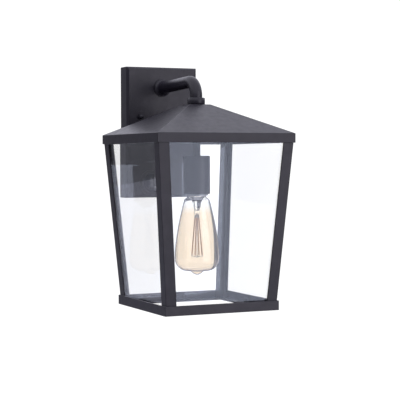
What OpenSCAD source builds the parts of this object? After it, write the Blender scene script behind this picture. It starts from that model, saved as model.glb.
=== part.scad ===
/* [Backplate] */
// Width of the backplate
plate_w = 112; // [100:1:140]
// Height of the backplate
plate_h = 192; // [180:1:240]
// Distance from the wall to the face of the backplate
plate_d = 26.5; // [24:0.5:40]
// Wall thickness of the backplate casting
plate_wall = 2.5; // [1.5:0.1:3.5]
// Bevel around the face of the backplate
plate_bevel = 3; // [0.5:0.5:5]
// Thickness of the foam gasket between the backplate and the wall
gasket_t = 1.5; // [1:0.1:3]
// Inset of the gasket from the edge of the backplate
gasket_inset = 0.5; // [0.2:0.1:1.5]

/* [Wall fixing] */
// Height of the crossbar above the middle of the backplate
crossbar_lift = 23; // [10:1:40]
// Width of the crossbar strip
crossbar_w = 20; // [14:1:24]
// Thickness of the crossbar strip
crossbar_t = 2; // [1.5:0.1:3]
// Spacing of the two slots for the junction box screws
slot_spacing = 88.9; // [84:0.1:90]
// Width of each slot
slot_w = 4.6; // [4:0.1:5.5]
// End to end length of each slot
slot_len = 7; // [6:0.1:8]
// Spacing of the two studs that hold the backplate
stud_spacing = 70; // [60:0.5:72]
// Diameter of the studs
stud_d = 4; // [3:0.1:5]
// Width across the flats of the stud nuts
stud_nut_af = 7; // [6:0.1:8]
// Height of the stud nuts
stud_nut_h = 3.2; // [2.5:0.1:4]
// Sideways place of the grounding screw on the crossbar
ground_x = 12; // [8:1:20]

/* [Arm] */
// Gap between the face of the backplate and the skirt of the roof
roof_gap = 18; // [8:0.5:60]
// Height of the middle of the backplate above the lantern's skirt
hang = 18; // [5:0.5:25]
// Outer diameter of the arm
arm_d = 17; // [15:0.5:21]
// Diameter of the channel through the arm
arm_bore_d = 9; // [8:0.2:10]
// Radius of the bend, along the middle of the arm
arm_bend_r = 21.5; // [19:0.5:26]
// Upward slope of the arm from the wall to the bend
arm_rise = 2; // [0:0.5:5]
// Diameter of the flare at the arm's root
arm_root_d = 26; // [24:0.5:32]
// Length of the flare at the arm's root
arm_root_len = 10; // [8:0.5:14]
// Length of the straight end below the bend
arm_end_len = 8.4; // [8:0.1:14]
// Outer diameter of the collar under the arm
collar_d = 24.4; // [23:0.2:30]
// Height of the collar
collar_h = 9.5; // [8:0.1:12]
// Thickness of the collar's floor
collar_floor = 3; // [2:0.1:4]

/* [Threaded tubes] */
// Outer diameter of the threaded tubes
tube_d = 10.3; // [10:0.1:10.6]
// Inner diameter of the threaded tubes
tube_bore_d = 6.8; // [6.4:0.1:7.2]
// Width across the flats of their lock nuts
tube_nut_af = 15; // [14:0.5:16]
// Thickness of their lock nuts
tube_nut_h = 4; // [3:0.1:5]
// Diameter of their washers
tube_washer_d = 20; // [17:0.5:24]
// Thickness of their washers
tube_washer_t = 1.2; // [0.8:0.1:2]
// How deep a threaded tube enters the arm
tube_grip = 8; // [6:0.5:8]

/* [Roof] */
// Width of the roof over its skirt
roof_w = 203; // [180:1:245]
// Height of the skirt around the roof
skirt_h = 12.8; // [11:0.1:16]
// Height of the sloping part of the roof
roof_rise = 41.2; // [35:0.1:50]
// Width of the flat top of the roof
plateau_w = 30; // [28:1:40]
// Thickness of the roof sheet
roof_wall = 1.6; // [1.2:0.1:2.2]

/* [Cage] */
// Width over the corner posts at the lower edge of the skirt
cage_top_w = 199; // [190:1:199]
// Width over the corner posts where they enter the bottom frame
cage_bottom_w = 165.4; // [150:0.1:190]
// Height from the skirt down to the bottom frame
cage_h = 215.3; // [180:0.1:260]
// Width of each leg of the corner angles
leg_w = 15.4; // [13:0.1:19]
// Thickness of the corner angles and the frames
leg_t = 2; // [1.5:0.1:2.5]
// Height of the bottom frame
rail_h = 13.2; // [11:0.1:16]
// Width of the bottom frame's ledge, with its rim
ledge_w = 16; // [14:0.5:19]
// Width of the ring under the roof that the posts hang from
top_ring_w = 19.6; // [18:0.1:24]
// Height of that ring above the lower edge of the skirt
top_ring_lift = 3; // [2:0.1:3]
// Distance of the roof screws from the edge of the ring
roof_screw_inset = 11.6; // [11:0.1:13]
// Diameter of the roof screws
roof_screw_d = 4; // [3:0.1:5]

/* [Glazing] */
// Thickness of the glass panes
glass_t = 3; // [2:0.1:4]
// Gap between a pane and the metal or pane beside it
glass_gap = 0.2; // [0.1:0.05:0.5]
// Width of the clips that hold the panes
clip_w = 12; // [8:1:20]
// Height of the clips
clip_h = 7; // [5:0.5:10]
// Thickness of the clips
clip_t = 1; // [0.8:0.1:1.5]

/* [Socket] */
// Outer diameter of the socket cup
cup_d = 37; // [36.6:0.1:44]
// Height of the socket cup
cup_h = 53; // [53:0.5:60]
// Wall thickness of the socket cup
cup_wall = 1.2; // [0.8:0.1:1.3]
// Distance from the skirt's lower edge down to the socket cup
cup_drop = 17; // [12:0.5:30]
// Diameter of the porcelain body inside the cup
porcelain_d = 33.2; // [33:0.1:33.6]
// Outer diameter of the threaded brass shell
shell_d = 28.6; // [28.4:0.1:28.8]
// Height of the threaded brass shell
shell_h = 23; // [21:0.5:23]
// Height of the wiring recess in the top of the porcelain
recess_h = 6; // [5:0.5:7]
// Thickness of the porcelain between the recess and the shell
web_h = 9.5; // [9:0.5:11]
// Thickness of the strap across the top of the porcelain
strap_t = 1.5; // [1:0.1:2]
// Height of the seal ring's flange
seal_h = 2.2; // [1.5:0.1:3]
// How far the seal ring hangs out of the cup
seal_drop = 2.2; // [1:0.1:2.5]

/* [Lamp] */
// Pitch of the lamp's screw thread
thread_pitch = 3.629; // [3.5:0.001:3.7]
// Mean diameter of the lamp's screw thread
thread_mean_d = 25.8; // [25.6:0.1:26]
// Height of a thread crest above the mean diameter
thread_crest = 0.45; // [0.3:0.05:0.5]
// Radial clearance between the lamp's thread and the shell's
thread_gap = 0.3; // [0.25:0.01:0.4]
// Largest diameter of the bulb
bulb_d = 62.4; // [55:0.2:75]
// Height from the shoulder of the bulb down to its largest diameter
bulb_body_h = 80; // [65:1:90]
// How round the side of the bulb is, 1 being straight
bulb_swell = 1.6; // [1.2:0.1:2.5]
// Diameter of the bulb at its shoulder
bulb_shoulder_d = 35; // [33:0.5:38]
// Radius of the bulb's lower edge
bulb_corner_r = 17; // [15:0.5:20]
// Diameter of the bulb's neck
neck_d = 28; // [27.4:0.1:28.4]
// Thickness of the bulb's glass
bulb_wall = 0.9; // [0.6:0.1:1.2]
// Height of the pip under the bulb
pip_h = 6; // [4:0.5:8]
// Length of the light sticks
filament_len = 56; // [45:1:60]
// Diameter of the light sticks
filament_d = 1.9; // [1.4:0.1:2.6]
// How far the light sticks spread at their lower ends
filament_spread = 7; // [5:0.5:10]

/* [Sensor] */
// Outer diameter of the light sensor's bezel
sensor_d = 37; // [34:0.5:38]
// Diameter of the light sensor's window
sensor_lens_d = 27; // [24:0.5:28]
// Sideways place of the sensor
sensor_x = -17; // [-25:1:25]
// Height of the sensor above the lower edge of the backplate
sensor_lift = 22; // [21:0.5:40]

/* [Wiring] */
// Diameter of the insulated leads
lead_d = 2.4; // [2:0.1:2.6]

/* [Hidden] */

$fn = 64;
// Radial clearance of a thread drawn plain
plain_fit = 0.03;
// Clearance of a screw or tube in a drilled hole
hole_fit = 0.25;
// How far a cut runs past the face it starts from
cut = 1;
// Clearance between pieces that move against each other
run_gap = 0.3;
// How far one stretch of the arm runs into the next, and how much thinner its wall is
seam = 0.3;
seam_step = 0.01;

// The origin is the middle of the crossbar, on the wall
crossbar_z = 0;
plate_z = crossbar_z - crossbar_lift;
plate_face_y = -plate_d;
plate_inner_y = plate_wall - plate_d;
cavity_w = plate_w - 2 * plate_wall;
cavity_h = plate_h - 2 * plate_wall;
crossbar_gap = 1;
crossbar_len = cavity_w - 2 * crossbar_gap;
stud_proud = 6;
ground_head_d = 8;
ground_head_h = 2.4;

// Roof and cage; the vertical axis of the lantern lies this far from the wall
reach = plate_d + roof_gap + roof_w / 2;
skirt_z = plate_z - hang;
skirt_top_z = skirt_z + skirt_h;
roof_top_z = skirt_top_z + roof_rise;
roof_inner_z = roof_top_z - roof_wall;
roof_pitch = roof_rise / (roof_w / 2 - plateau_w / 2);
top_ring_z = skirt_z + top_ring_lift;
top_ring_gap = 0.3;
top_ring_half = roof_w / 2 - roof_wall - top_ring_gap;
roof_screw_half = top_ring_half - roof_screw_inset;
roof_boss_r = roof_screw_d / 2 + 2;

// Arm, built up from the collar; its root follows from the reach and the slope
arm_end_z = roof_top_z + collar_floor;
bend_y = arm_bend_r - reach;
bend_z = arm_end_z + arm_end_len;
arm_start_y = bend_y + arm_bend_r * sin(arm_rise);
arm_run = (plate_face_y - arm_start_y) / cos(arm_rise);
arm_root_z = bend_z + arm_bend_r * cos(arm_rise) - arm_run * sin(arm_rise);

// Cage
cage_lean = (cage_top_w - cage_bottom_w) / 2 / cage_h;
rail_top_z = skirt_z - cage_h;
rail_z = rail_top_z - rail_h;
ledge_z = rail_z + leg_t;
rail_half = cage_bottom_w / 2 + leg_t;
ledge_half = rail_half - ledge_w;
pane_inset = leg_t + glass_gap;
clip_inset = pane_inset + glass_t + glass_gap;
clip_foot = 5;
top_clip_z = skirt_z + glass_gap;

// Socket, from the cup's top downwards
cup_z = skirt_z - cup_drop;
cup_mouth_z = cup_z - cup_h;
cup_nut_z = cup_z - cup_wall;
strap_z = cup_nut_z - tube_nut_h;
porcelain_z = strap_z - strap_t;
stem_end_z = porcelain_z - 1.5;
recess_r = 12.5;
recess_z = porcelain_z - recess_h;
shell_z = recess_z - web_h;
shell_end_z = shell_z - shell_h;
shell_top_t = 0.8;
seal_z = cup_mouth_z + cup_wall + run_gap + seal_h;
porcelain_end_z = seal_z + run_gap;
seal_r = cup_d / 2 - cup_wall - run_gap;
seal_bore_r = 14.5;
seal_sleeve_r = seal_bore_r + 0.9;
lip_r = seal_sleeve_r + run_gap;
strap_screw_y = (recess_r + porcelain_d / 2) / 2;
strap_screw_d = 2.6;
contact_h = 4;
contact_r = 4;

// Lamp, from its contact downwards
lamp_z = shell_z - shell_top_t - contact_h - run_gap;
lamp_contact_h = 1.2;
insulator_z = lamp_z - lamp_contact_h;
insulator_h = 3;
cap_z = insulator_z - insulator_h;
cap_thread_h = 16;
cap_wall = 0.6;
cap_crown_h = 1;
cap_crown_r = thread_mean_d / 2 - thread_crest - 0.4;
cap_skirt_z = cap_z - cap_crown_h - cap_thread_h;
cap_skirt_r = thread_mean_d / 2 + thread_crest + 0.25;
cap_end_z = cup_mouth_z - seal_drop - 0.6;
neck_root_r = neck_d / 2 - 1.6;
cap_skirt_bore_r = neck_root_r + 0.15;
thread_sides = 24;
thread_steps = 6;
neck_z = cap_end_z - 2.4;
shoulder_z = neck_z - 2.6;
bulb_wide_z = shoulder_z - bulb_body_h;
bulb_corner_z = bulb_wide_z - 2.5;
bulb_base_z = bulb_corner_z - bulb_corner_r;
bulb_tip_z = bulb_base_z - pip_h;
pip_r = 8.5;
stem_flare_z = cap_end_z - 1;
stem_press_z = stem_flare_z - 19;
stem_press_h = 6;
filament_z = stem_press_z - stem_press_h - 2;
filament_top_r = 2.6;
filament_end_z = filament_z - filament_len;
support_r = 0.35;

// Sensor
sensor_z = plate_z - plate_h / 2 + sensor_lift;
sensor_bezel_t = 2.5;
sensor_body_d = 24;
sensor_body_h = 14;
sensor_nut_h = 3.5;

// Wiring
lead_x = lead_d / 2 + 0.15;
connector_d = 12;
connector_h = 22;
connector_x = 20;
connector_z = plate_z - 6;
connector_y = plate_inner_y / 2;
lead_sides = 8;
lead_steps = 8;

steel = [0.62, 0.63, 0.65];
coating = [0.19, 0.18, 0.2];
brass = [0.79, 0.64, 0.33];

// ---- Shared shapes ----

// A hexagonal nut with a plain bore, standing up from z = 0
module nut(across_flats, height, bore_d) {
    difference() {
        cylinder(d = across_flats / cos(30), h = height, $fn = 6);
        translate([0, 0, -cut])
            cylinder(d = bore_d + 2 * plain_fit, h = height + 2 * cut);
    }
}

// A flat washer, standing up from z = 0
module washer(outer_d, bore_d, height) {
    difference() {
        cylinder(d = outer_d, h = height);
        translate([0, 0, -cut])
            cylinder(d = bore_d + 2 * hole_fit, h = height + 2 * cut);
    }
}

// Turns what stands along +Z so that it stands out from the wall, along -Y
module outwards(x, y, z) {
    translate([x, y, z]) rotate([90, 0, 0]) children();
}

module on_axis() {
    translate([0, -reach, 0]) children();
}

// A bar along Y whose width changes evenly from z0 to z1
module leaning_bar(half0, z0, half1, z1, half_len) {
    translate([0, half_len, 0]) rotate([90, 0, 0])
        linear_extrude(height = 2 * half_len)
            polygon([[-half0, z0], [half0, z0], [half1, z1], [-half1, z1]]);
}

// A square block whose width changes evenly from z0 to z1
module leaning_block(half0, z0, half1, z1) {
    reach_out = 2 * max(half0, half1);
    intersection() {
        leaning_bar(half0, z0, half1, z1, reach_out);
        rotate(90) leaning_bar(half0, z0, half1, z1, reach_out);
    }
}

// Half the width over the posts at a height
function cage_half(z) = cage_top_w / 2 + cage_lean * (z - skirt_z);

module cage_block(inset, z0, z1) {
    leaning_block(cage_half(z0) - inset, z0, cage_half(z1) - inset, z1);
}

module cage_bar(inset, z0, z1) {
    leaning_bar(cage_half(z0) - inset, z0, cage_half(z1) - inset, z1, cage_top_w);
}

// Points along the arm's centre line, from the root to the end, at a sideways place
function arm_route(x) = [
    for (i = [0 : lead_steps])
        let (a = 90 + arm_rise - i * (90 + arm_rise) / lead_steps)
        [x, bend_y - arm_bend_r * cos(a), bend_z + arm_bend_r * sin(a)]
];

function unit(v) = v / norm(v);

// Direction of a route at point i
function heading(route, i) =
    unit(route[min(i + 1, len(route) - 1)] - route[max(i - 1, 0)]);

// A round lead along a route that never runs straight along X
module lead(route) {
    count = len(route);
    rings = [
        for (i = [0 : count - 1])
            let (t = heading(route, i), u = unit(cross(t, [1, 0, 0])), v = cross(t, u))
            for (k = [0 : lead_sides - 1])
                let (a = 360 * k / lead_sides)
                route[i] + lead_d / 2 * (cos(a) * u + sin(a) * v)
    ];
    walls = [
        for (i = [0 : count - 2])
            for (k = [0 : lead_sides - 1])
                let (n = (k + 1) % lead_sides, p = i * lead_sides, q = p + lead_sides)
                [p + k, q + k, q + n, p + n]
    ];
    first = [for (k = [0 : lead_sides - 1]) k];
    last = [for (k = [lead_sides - 1 : -1 : 0]) (count - 1) * lead_sides + k];
    polyhedron(points = rings, faces = concat([first], walls, [last]));
}

// ---- Backplate and wall fixing ----

module plate_block(inset, y_back, y_front, bevel) {
    half_w = plate_w / 2 - inset;
    half_h = plate_h / 2 - inset;
    translate([0, 0, plate_z]) intersection() {
        translate([0, 0, -plate_h]) linear_extrude(height = 2 * plate_h)
            polygon([
                [-half_w, y_back], [half_w, y_back], [half_w, y_front + bevel],
                [half_w - bevel, y_front], [bevel - half_w, y_front],
                [-half_w, y_front + bevel]
            ]);
        translate([-plate_w, 0, 0]) rotate([90, 0, 90])
            linear_extrude(height = 2 * plate_w)
                polygon([
                    [y_back, -half_h], [y_back, half_h], [y_front + bevel, half_h],
                    [y_front, half_h - bevel], [y_front, bevel - half_h],
                    [y_front + bevel, -half_h]
                ]);
    }
}

module backplate() {
    color(coating) difference() {
        plate_block(0, -gasket_t, plate_face_y, plate_bevel);
        plate_block(plate_wall, cut, plate_inner_y, plate_bevel);
        for (x = [-1, 1])
            outwards(x * stud_spacing / 2, 0, crossbar_z)
                cylinder(d = stud_d + 2 * hole_fit, h = plate_d + cut);
        outwards(0, 0, arm_root_z)
            cylinder(d = tube_d + 2 * hole_fit, h = plate_d + cut);
        outwards(sensor_x, 0, sensor_z)
            cylinder(d = sensor_body_d + 2 * hole_fit, h = plate_d + cut);
    }
}

module wall_gasket() {
    color([0.12, 0.12, 0.12]) difference() {
        plate_block(gasket_inset, 0, -gasket_t, 0);
        plate_block(plate_wall, cut, -gasket_t - cut, 0);
    }
}

module crossbar() {
    color(steel) difference() {
        translate([-crossbar_len / 2, -crossbar_t, crossbar_z - crossbar_w / 2])
            cube([crossbar_len, crossbar_t, crossbar_w]);
        for (x = [-1, 1]) {
            outwards(x * stud_spacing / 2, cut, crossbar_z)
                cylinder(d = stud_d + 2 * plain_fit, h = crossbar_t + 2 * cut);
            for (end = [-1, 1])
                outwards(x * slot_spacing / 2 + end * (slot_len - slot_w) / 2, cut, crossbar_z)
                    cylinder(d = slot_w, h = crossbar_t + 2 * cut);
            translate([
                x * slot_spacing / 2 - (slot_len - slot_w) / 2,
                -crossbar_t - cut,
                crossbar_z - slot_w / 2
            ])
                cube([slot_len - slot_w, crossbar_t + 2 * cut, slot_w]);
        }
        outwards(ground_x, cut, crossbar_z)
            cylinder(d = stud_d + 2 * plain_fit, h = crossbar_t + 2 * cut);
    }
}

module crossbar_studs() {
    color(steel) for (x = [-1, 1])
        outwards(x * stud_spacing / 2, 0, crossbar_z)
            cylinder(d = stud_d, h = plate_d + stud_proud - cut);
}

module stud_lock_nuts() {
    color(steel) for (x = [-1, 1])
        outwards(x * stud_spacing / 2, -crossbar_t, crossbar_z)
            nut(stud_nut_af, stud_nut_h, stud_d);
}

// Acorn nuts with a blind bore and a round end
module cap_nuts() {
    hex_r = stud_nut_af / 2;
    color(coating) for (x = [-1, 1])
        outwards(x * stud_spacing / 2, plate_face_y, crossbar_z) difference() {
            union() {
                cylinder(d = stud_nut_af / cos(30), h = stud_nut_h, $fn = 6);
                translate([0, 0, stud_nut_h]) intersection() {
                    translate([0, 0, 1]) sphere(r = hex_r);
                    cylinder(r = hex_r, h = 2 * hex_r);
                }
            }
            translate([0, 0, -cut])
                cylinder(d = stud_d + 2 * plain_fit, h = stud_proud + cut - 0.4);
        }
}

module ground_screw() {
    color([0.16, 0.42, 0.24]) outwards(ground_x, 0, crossbar_z) difference() {
        union() {
            cylinder(d = stud_d, h = crossbar_t + cut);
            translate([0, 0, crossbar_t])
                cylinder(d = ground_head_d, h = ground_head_h);
        }
        translate([-ground_head_d, -0.5, crossbar_t + ground_head_h - 1])
            cube([2 * ground_head_d, 1, 2]);
    }
}

// ---- Arm, collar and centre tube ----

// The arm's own frame: the middle of the bend, with +Y up and the bend turning about +Z
module in_bend() {
    translate([0, bend_y, bend_z]) rotate([90, 0, -90]) children();
}

// The sloping stretch, from a little inside the bend to past the backplate's face
module arm_straight(diameter, into_bend) {
    in_bend() rotate(90 + arm_rise) translate([arm_bend_r, -into_bend, 0])
        rotate([-90, 0, 0]) cylinder(d = diameter, h = arm_run + arm_d + into_bend);
}

module arm_bend() {
    in_bend() rotate_extrude(angle = 90 + arm_rise) translate([arm_bend_r, 0])
        difference() {
            circle(d = arm_d);
            circle(d = arm_bore_d);
        }
}

module arm_end() {
    in_bend() translate([arm_bend_r, -arm_end_len, 0]) rotate([-90, 0, 0]) difference() {
        cylinder(d = arm_d, h = arm_end_len);
        translate([0, 0, -cut]) cylinder(d = arm_bore_d, h = arm_end_len + 2 * cut);
        translate([0, 0, -cut])
            cylinder(d = tube_d + 2 * plain_fit, h = tube_grip + cut);
    }
}

// The flare narrows to the arm along a quarter of an ellipse
module arm_flare() {
    flare = (arm_root_d - arm_d) / 2;
    steps = 10;
    outwards(0, plate_face_y, arm_root_z) rotate_extrude()
        polygon(concat(
            [[0, 0], [arm_root_d / 2 - 0.8, 0], [arm_root_d / 2, 0.8]],
            [for (i = [0 : steps])
                [arm_root_d / 2 - flare * sin(90 * i / steps),
                 2 + (arm_root_len - 2) * (1 - cos(90 * i / steps))]],
            [[0, arm_root_len]]
        ));
}

module arm_root() {
    difference() {
        union() {
            arm_straight(arm_d - 2 * seam_step, seam);
            arm_flare();
        }
        arm_straight(arm_bore_d + 2 * seam_step, seam + cut);
        outwards(0, plate_face_y + cut, arm_root_z)
            cylinder(d = tube_d + 2 * plain_fit, h = tube_grip + cut);
        translate([-arm_root_d, plate_face_y, arm_root_z - arm_root_d])
            cube(2 * arm_root_d);
    }
}

module arm() {
    color(coating) {
        arm_root();
        arm_bend();
        arm_end();
    }
}

module threaded_tube(height) {
    difference() {
        cylinder(d = tube_d, h = height);
        translate([0, 0, -cut]) cylinder(d = tube_bore_d, h = height + 2 * cut);
    }
}

module arm_nipple() {
    back = tube_washer_t + tube_nut_h + 2;
    color(steel) outwards(0, plate_inner_y + back, arm_root_z)
        threaded_tube(back + plate_wall + tube_grip);
}

module arm_lock_washer() {
    color(steel) outwards(0, plate_inner_y + tube_washer_t, arm_root_z)
        washer(tube_washer_d, tube_d, tube_washer_t);
}

module arm_lock_nut() {
    color(steel) outwards(0, plate_inner_y + tube_washer_t + tube_nut_h, arm_root_z)
        nut(tube_nut_af, tube_nut_h, tube_d);
}

module collar() {
    soft = 0.8;
    color(coating) translate([0, -reach, roof_top_z]) rotate_extrude()
        polygon([
            [tube_d / 2 + hole_fit, 0], [collar_d / 2 - soft, 0], [collar_d / 2, soft],
            [collar_d / 2, collar_h - soft], [collar_d / 2 - soft, collar_h],
            [arm_d / 2 + hole_fit, collar_h], [arm_d / 2 + hole_fit, collar_floor],
            [tube_d / 2 + hole_fit, collar_floor]
        ]);
}

module stem_tube() {
    color(coating) translate([0, -reach, stem_end_z])
        threaded_tube(arm_end_z + tube_grip - stem_end_z);
}

module roof_washer() {
    color(steel) translate([0, -reach, roof_inner_z - tube_washer_t])
        washer(tube_washer_d, tube_d, tube_washer_t);
}

module roof_lock_nut() {
    color(steel) translate([0, -reach, roof_inner_z - tube_washer_t - tube_nut_h])
        nut(tube_nut_af, tube_nut_h, tube_d);
}

// ---- Roof and cage ----

// The roof's outer or inner form, as two crossed bars with its own outline
module roof_solid(inset, foot) {
    half = roof_w / 2 - inset;
    // A sheet's upright thickness on the slope
    drop = inset * sqrt(1 + roof_pitch * roof_pitch);
    top_half = plateau_w / 2 - (drop - inset) / roof_pitch;
    top_z = roof_top_z - inset;
    eave_z = top_z - (half - top_half) * roof_pitch;
    low_z = skirt_z - foot;
    intersection_for (turn = [0, 90]) rotate(turn)
        translate([0, roof_w, 0]) rotate([90, 0, 0]) linear_extrude(height = 2 * roof_w)
            polygon([
                [-half, low_z], [half, low_z], [half, eave_z], [top_half, top_z],
                [-top_half, top_z], [-half, eave_z]
            ]);
}

module roof() {
    color(coating) on_axis() difference() {
        union() {
            difference() {
                roof_solid(0, 0);
                roof_solid(roof_wall, cut);
            }
            intersection() {
                roof_solid(roof_wall / 2, 0);
                for (x = [-1, 1])
                    for (y = [-1, 1])
                        translate([x * roof_screw_half, y * roof_screw_half, top_ring_z + leg_t])
                            cylinder(r = roof_boss_r, h = roof_rise);
            }
        }
        translate([0, 0, roof_inner_z - cut])
            cylinder(d = tube_d + 2 * hole_fit, h = roof_wall + 2 * cut);
        for (x = [-1, 1])
            for (y = [-1, 1])
                translate([x * roof_screw_half, y * roof_screw_half, top_ring_z])
                    cylinder(d = roof_screw_d + 2 * plain_fit, h = leg_t + 6);
    }
}

module top_frame() {
    hole_half = top_ring_half - top_ring_w;
    color(coating) translate([0, -reach, top_ring_z]) difference() {
        translate([-top_ring_half, -top_ring_half, 0])
            cube([2 * top_ring_half, 2 * top_ring_half, leg_t]);
        translate([-hole_half, -hole_half, -cut])
            cube([2 * hole_half, 2 * hole_half, leg_t + 2 * cut]);
        for (x = [-1, 1])
            for (y = [-1, 1])
                translate([x * roof_screw_half, y * roof_screw_half, -cut])
                    cylinder(d = roof_screw_d + 2 * hole_fit, h = leg_t + 2 * cut);
    }
}

module roof_screws() {
    head_h = 2.2;
    color(coating) on_axis()
        for (x = [-1, 1])
            for (y = [-1, 1])
                translate([x * roof_screw_half, y * roof_screw_half, top_ring_z]) {
                    cylinder(d = roof_screw_d, h = leg_t + 5.5);
                    translate([0, 0, -head_h])
                        cylinder(d = 2 * roof_screw_d - 0.6, h = head_h);
                }
}

// One corner angle; x and y say which corner
module post(x, y) {
    low = ledge_z;
    high = top_ring_z;
    color(coating) on_axis() intersection() {
        difference() {
            cage_block(0, low, high);
            cage_block(leg_t, low - cut, high + cut);
            cage_bar(leg_w, low - cut, high + cut);
            rotate(90) cage_bar(leg_w, low - cut, high + cut);
        }
        translate([x < 0 ? -cage_top_w : 0, y < 0 ? -cage_top_w : 0, low - cut])
            cube([cage_top_w, cage_top_w, high - low + 2 * cut]);
    }
}

module post_front_left() { post(-1, -1); }
module post_front_right() { post(1, -1); }
module post_rear_left() { post(-1, 1); }
module post_rear_right() { post(1, 1); }

module bottom_frame() {
    color(coating) translate([0, -reach, rail_z]) difference() {
        translate([-rail_half, -rail_half, 0])
            cube([2 * rail_half, 2 * rail_half, rail_h]);
        translate([leg_t - rail_half, leg_t - rail_half, leg_t])
            cube([2 * (rail_half - leg_t), 2 * (rail_half - leg_t), rail_h]);
        translate([-ledge_half, -ledge_half, -cut])
            cube([2 * ledge_half, 2 * ledge_half, rail_h]);
    }
}

// ---- Glazing ----

pane_low = ledge_z + glass_gap;
pane_high = top_ring_z - glass_gap;

// The front and rear panes run the whole width; side is -1 in front
module wide_pane(side) {
    color([0.9, 0.95, 0.97, 0.35]) on_axis() intersection() {
        difference() {
            cage_block(pane_inset, pane_low, pane_high);
            rotate(90) cage_bar(pane_inset + glass_t, pane_low - cut, pane_high + cut);
        }
        translate([-cage_top_w, side < 0 ? -cage_top_w : 0, pane_low])
            cube([2 * cage_top_w, cage_top_w, pane_high - pane_low]);
    }
}

// The side panes stand between the other two; side is -1 on the left
module narrow_pane(side) {
    color([0.9, 0.95, 0.97, 0.35]) on_axis() intersection() {
        difference() {
            cage_block(pane_inset, pane_low, pane_high);
            cage_bar(pane_inset + glass_t, pane_low - cut, pane_high + cut);
        }
        rotate(90) cage_bar(clip_inset, pane_low, pane_high);
        translate([side < 0 ? -cage_top_w : 0, -cage_top_w, pane_low])
            cube([cage_top_w, 2 * cage_top_w, pane_high - pane_low]);
    }
}

module glass_front() { wide_pane(-1); }
module glass_rear() { wide_pane(1); }
module glass_left() { narrow_pane(-1); }
module glass_right() { narrow_pane(1); }

// A clip has a leaning tongue behind the pane and a foot on the frame
module clip(z0, z1, foot_z) {
    foot_half = cage_half(foot_z) - clip_inset;
    intersection() {
        difference() {
            cage_block(clip_inset, z0, z1);
            cage_block(clip_inset + clip_t, z0 - cut, z1 + cut);
        }
        translate([-clip_w / 2, -cage_top_w, z0]) cube([clip_w, cage_top_w, z1 - z0]);
    }
    translate([-clip_w / 2, -foot_half + clip_t / 2, foot_z])
        cube([clip_w, clip_foot, clip_t]);
}

module glass_clips() {
    color(coating) on_axis() for (turn = [0 : 3]) rotate(90 * turn) {
        clip(ledge_z, ledge_z + clip_h, ledge_z);
        clip(top_clip_z, top_ring_z, top_ring_z - clip_t);
    }
}

// ---- Socket ----

module socket_cup() {
    soft = 1;
    outer = cup_d / 2;
    color(coating) translate([0, -reach, 0]) rotate_extrude()
        polygon([
            [tube_d / 2 + hole_fit, cup_z], [outer - soft, cup_z], [outer, cup_z - soft],
            [outer, cup_mouth_z], [lip_r, cup_mouth_z], [lip_r, cup_mouth_z + cup_wall],
            [outer - cup_wall, cup_mouth_z + cup_wall], [outer - cup_wall, cup_z - cup_wall],
            [tube_d / 2 + hole_fit, cup_z - cup_wall]
        ]);
}

module socket_cup_nut() {
    color(steel) translate([0, -reach, strap_z]) nut(tube_nut_af, tube_nut_h, tube_d);
}

module socket_strap() {
    strap_w = 12;
    half_len = porcelain_d / 2 - 0.6;
    color(steel) translate([0, -reach, porcelain_z]) difference() {
        intersection() {
            translate([-strap_w / 2, -half_len, 0]) cube([strap_w, 2 * half_len, strap_t]);
            cylinder(r = half_len, h = strap_t);
        }
        translate([0, 0, -cut]) cylinder(d = tube_d + 2 * plain_fit, h = strap_t + 2 * cut);
        for (y = [-1, 1])
            translate([0, y * strap_screw_y, -cut])
                cylinder(d = strap_screw_d + 2 * hole_fit, h = strap_t + 2 * cut);
    }
}

module socket_screws() {
    color(steel) translate([0, -reach, porcelain_z]) for (y = [-1, 1])
        translate([0, y * strap_screw_y, 0]) {
            translate([0, 0, -7]) cylinder(d = strap_screw_d, h = 7 + strap_t);
            translate([0, 0, strap_t]) cylinder(d = 2 * strap_screw_d - 0.6, h = 1.4);
        }
}

line_x = 4.5;
neutral_x = -10.5;

module socket_body() {
    color([0.93, 0.92, 0.88]) on_axis() difference() {
        translate([0, 0, porcelain_end_z])
            cylinder(d = porcelain_d, h = porcelain_z - porcelain_end_z);
        translate([0, 0, recess_z]) cylinder(r = recess_r, h = recess_h + cut);
        translate([0, 0, porcelain_end_z - cut])
            cylinder(d = shell_d + 2 * plain_fit, h = shell_z - porcelain_end_z + cut);
        for (x = [line_x, neutral_x])
            translate([x, 0, shell_z - cut])
                cylinder(d = lead_d + 2 * hole_fit, h = web_h + 2 * cut);
        for (y = [-1, 1])
            translate([0, y * strap_screw_y, porcelain_z - 7.5])
                cylinder(d = strap_screw_d + 2 * plain_fit, h = 8.5);
    }
}

// A ring of points around the axis. The thread's phase is set by height alone, so a
// bar and its socket match wherever they start
function thread_ring(radius, z, crest) = [
    for (k = [0 : thread_sides - 1])
        let (a = 360 * k / thread_sides, r = radius + crest * cos(a - 360 * z / thread_pitch))
        [r * cos(a), r * sin(a), z]
];

function plain_ring(radius, z) = thread_ring(radius, z, 0);

// Rings of a threaded stretch, from z0 to z1
function thread_rings(radius, z0, z1) =
    let (count = ceil(thread_steps * abs(z1 - z0) / thread_pitch))
    [for (i = [0 : count]) thread_ring(radius, z0 + (z1 - z0) * i / count, thread_crest)];

// A hollow body whose rings go up its outside and come down its inside
module ring_body(rings) {
    count = len(rings);
    polyhedron(
        points = [for (ring = rings) each ring],
        faces = [
            for (i = [0 : count - 1])
                for (k = [0 : thread_sides - 1])
                    let (
                        n = (k + 1) % thread_sides,
                        p = i * thread_sides,
                        q = (i + 1) % count * thread_sides
                    )
                    each [[p + k, q + k, q + n], [p + k, q + n, p + n]]
        ]
    );
}

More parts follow.
